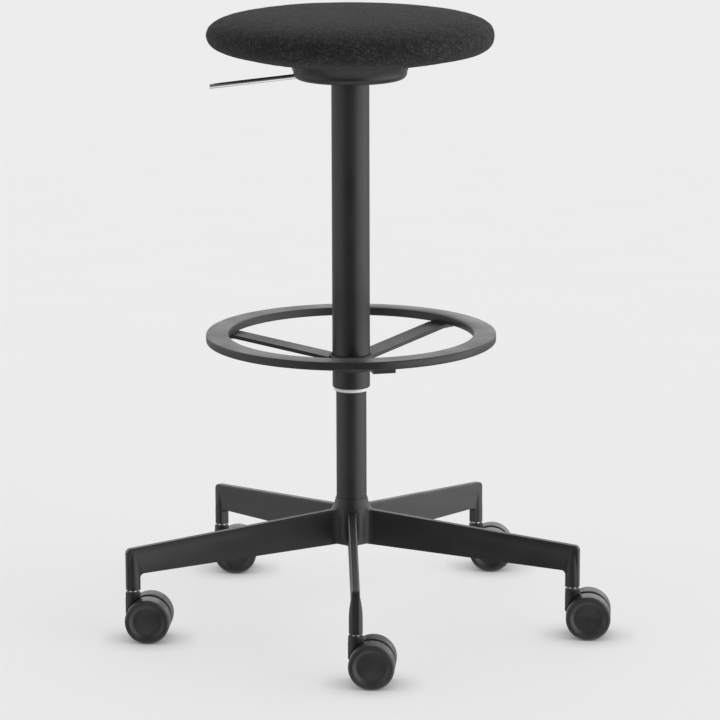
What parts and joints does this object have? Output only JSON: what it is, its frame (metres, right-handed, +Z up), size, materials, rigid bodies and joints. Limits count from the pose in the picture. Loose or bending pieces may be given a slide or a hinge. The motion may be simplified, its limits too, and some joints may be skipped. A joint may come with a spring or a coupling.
{
  "type": "swivel stool",
  "caption": "Height-adjustable swivel stool: round upholstered seat, telescopic column, flat footring, release lever and star base on twin-wheel casters.",
  "frame": {"origin": "on the floor, on the axis of the column", "axes": "+Z up along the column, -Y towards the front leg of the base, the release lever points to -X"},
  "size_m": [0.6539, 0.6237, 0.8315],
  "materials": {
    "seat_fabric": "dark grey melange wool felt, matt",
    "cover_plastic": "fine moulded grain, satin",
    "black_coat": "black powder coat, satin",
    "bright_steel": "polished chrome plate",
    "steel": "zinc plated",
    "bush_plastic": "natural acetal, smooth",
    "rubber_black": "matt",
    "plywood": "bare birch plywood",
    "caster_plastic": "glass filled nylon, fine grain",
    "wheel_plastic": "nylon wheel, satin"
  },
  "bodies": {
    "base": {"star_base": "black_coat", "caster_sockets": "steel", "lower_column": "black_coat", "column_foot": "steel", "lower_race": "steel", "bearing_cage": "steel", "column_bush": "bush_plastic"},
    "spindle": {"piston_rod": "bright_steel", "piston": "steel", "bump_stop": "rubber_black", "rod_clip": "steel", "upper_race": "steel"},
    "seat": {"upper_tube": "black_coat", "guide_bush": "bush_plastic", "taper_socket": "steel", "gas_cylinder": "black_coat", "cylinder_gland": "bush_plastic", "footring": "black_coat", "footring_collar": "black_coat", "spoke_front": "black_coat", "spoke_right": "black_coat", "spoke_left": "black_coat", "mounting_pan": "black_coat", "seat_board": "plywood", "tee_nuts": "steel", "plate_screws": "steel", "mechanism_cover": "cover_plastic", "cover_screws": "steel", "lever_bracket": "steel", "lever_pin": "steel", "seat_cushion": "seat_fabric"},
    "lever": {"release_lever": "bright_steel", "lever_arm": "steel"},
    "valve": {"release_button": "steel"},
    "caster_front": {"caster_body_front": "caster_plastic", "stem_front": "bright_steel", "axle_front": "steel"},
    "roller_front_a": {"wheel_front_a": "wheel_plastic"},
    "roller_front_b": {"wheel_front_b": "wheel_plastic"},
    "caster_front_right": {"caster_body_front_right": "caster_plastic", "stem_front_right": "bright_steel", "axle_front_right": "steel"},
    "roller_front_right_a": {"wheel_front_right_a": "wheel_plastic"},
    "roller_front_right_b": {"wheel_front_right_b": "wheel_plastic"},
    "caster_rear_right": {"caster_body_rear_right": "caster_plastic", "stem_rear_right": "bright_steel", "axle_rear_right": "steel"},
    "roller_rear_right_a": {"wheel_rear_right_a": "wheel_plastic"},
    "roller_rear_right_b": {"wheel_rear_right_b": "wheel_plastic"},
    "caster_rear_left": {"caster_body_rear_left": "caster_plastic", "stem_rear_left": "bright_steel", "axle_rear_left": "steel"},
    "roller_rear_left_a": {"wheel_rear_left_a": "wheel_plastic"},
    "roller_rear_left_b": {"wheel_rear_left_b": "wheel_plastic"},
    "caster_front_left": {"caster_body_front_left": "caster_plastic", "stem_front_left": "bright_steel", "axle_front_left": "steel"},
    "roller_front_left_a": {"wheel_front_left_a": "wheel_plastic"},
    "roller_front_left_b": {"wheel_front_left_b": "wheel_plastic"}
  },
  "joints": [
    {"name": "seat_swivel", "type": "hinge", "parent": "base", "child": "spindle", "pos_m": [0, 0, 0.12], "axis": [0, 0, 1], "continuous": true},
    {"name": "seat_lift", "type": "slide", "parent": "spindle", "child": "seat", "axis": [0, 0, 1], "range_m": [-0.135, 0]},
    {"name": "lever_hinge", "type": "hinge", "parent": "seat", "child": "lever", "pos_m": [-0.028, 0, 0.75065], "axis": [0, 1, 0], "range_deg": [0, 6]},
    {"name": "button_travel", "type": "slide", "parent": "seat", "child": "valve", "axis": [0, 0, -1], "range_m": [0, 0.003], "stiffness_N_per_m": 3000, "springref_m": -0.002},
    {"name": "swivel_front", "type": "hinge", "parent": "base", "child": "caster_front", "pos_m": [0, -0.31, 0.08], "axis": [0, 0, 1], "continuous": true},
    {"name": "spin_front_a", "type": "hinge", "parent": "caster_front", "child": "roller_front_a", "pos_m": [0.02142, -0.31184, 0.03], "axis": [0.0854, 0.9963, 0], "continuous": true},
    {"name": "spin_front_b", "type": "hinge", "parent": "caster_front", "child": "roller_front_b", "pos_m": [0.02142, -0.31184, 0.03], "axis": [0.0854, 0.9963, 0], "continuous": true},
    {"name": "swivel_front_right", "type": "hinge", "parent": "base", "child": "caster_front_right", "pos_m": [0.29483, -0.0958, 0.08], "axis": [0, 0, 1], "continuous": true},
    {"name": "spin_front_right_a", "type": "hinge", "parent": "caster_front_right", "child": "roller_front_right_a", "pos_m": [0.31625, -0.09763, 0.03], "axis": [0.0854, 0.9963, 0], "continuous": true},
    {"name": "spin_front_right_b", "type": "hinge", "parent": "caster_front_right", "child": "roller_front_right_b", "pos_m": [0.31625, -0.09763, 0.03], "axis": [0.0854, 0.9963, 0], "continuous": true},
    {"name": "swivel_rear_right", "type": "hinge", "parent": "base", "child": "caster_rear_right", "pos_m": [0.18221, 0.25079, 0.08], "axis": [0, 0, 1], "continuous": true},
    {"name": "spin_rear_right_a", "type": "hinge", "parent": "caster_rear_right", "child": "roller_rear_right_a", "pos_m": [0.20364, 0.24896, 0.03], "axis": [0.0854, 0.9963, 0], "continuous": true},
    {"name": "spin_rear_right_b", "type": "hinge", "parent": "caster_rear_right", "child": "roller_rear_right_b", "pos_m": [0.20364, 0.24896, 0.03], "axis": [0.0854, 0.9963, 0], "continuous": true},
    {"name": "swivel_rear_left", "type": "hinge", "parent": "base", "child": "caster_rear_left", "pos_m": [-0.18221, 0.25079, 0.08], "axis": [0, 0, 1], "continuous": true},
    {"name": "spin_rear_left_a", "type": "hinge", "parent": "caster_rear_left", "child": "roller_rear_left_a", "pos_m": [-0.16079, 0.24896, 0.03], "axis": [0.0854, 0.9963, 0], "continuous": true},
    {"name": "spin_rear_left_b", "type": "hinge", "parent": "caster_rear_left", "child": "roller_rear_left_b", "pos_m": [-0.16079, 0.24896, 0.03], "axis": [0.0854, 0.9963, 0], "continuous": true},
    {"name": "swivel_front_left", "type": "hinge", "parent": "base", "child": "caster_front_left", "pos_m": [-0.29483, -0.0958, 0.08], "axis": [0, 0, 1], "continuous": true},
    {"name": "spin_front_left_a", "type": "hinge", "parent": "caster_front_left", "child": "roller_front_left_a", "pos_m": [-0.27341, -0.09763, 0.03], "axis": [0.0854, 0.9963, 0], "continuous": true},
    {"name": "spin_front_left_b", "type": "hinge", "parent": "caster_front_left", "child": "roller_front_left_b", "pos_m": [-0.27341, -0.09763, 0.03], "axis": [0.0854, 0.9963, 0], "continuous": true}
  ],
  "couplings": [
    {"joint": "button_travel", "follows": "lever_hinge", "m_per_rad": 0.028}
  ]
}
